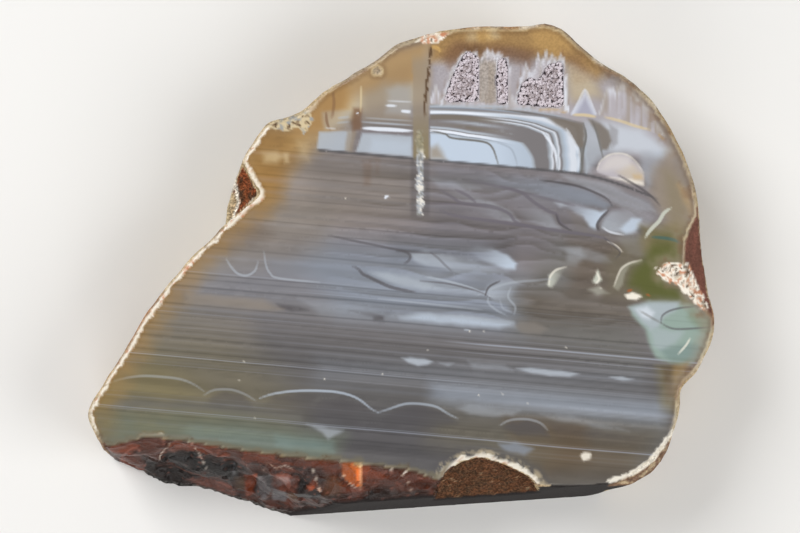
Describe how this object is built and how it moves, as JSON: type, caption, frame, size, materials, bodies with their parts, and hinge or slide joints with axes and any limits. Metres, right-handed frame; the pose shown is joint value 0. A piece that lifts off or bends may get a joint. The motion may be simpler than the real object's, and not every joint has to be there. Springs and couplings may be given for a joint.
{
  "type": "scenic agate slice",
  "caption": "Thick slab of banded scenic agate with a polished face, natural rind edge, sugary quartz vugs and rusty matrix pockets, lying on its flat sawn back.",
  "frame": {"origin": "middle of the bounding box's bottom, on the sawn back that the slab lies on", "axes": "+X to the right of the scene in the stone, +Y to its top, +Z out of the polished face"},
  "size_m": [0.1004, 0.0802, 0.018],
  "materials": {
    "agate": "polished face, waxy natural skin",
    "quartz_druse": "glassy sugar crystals"
  },
  "bodies": {
    "root": {"agate_slice": "agate", "druse_left": "quartz_druse", "druse_middle": "quartz_druse", "druse_right": "quartz_druse"}
  },
  "joints": []
}
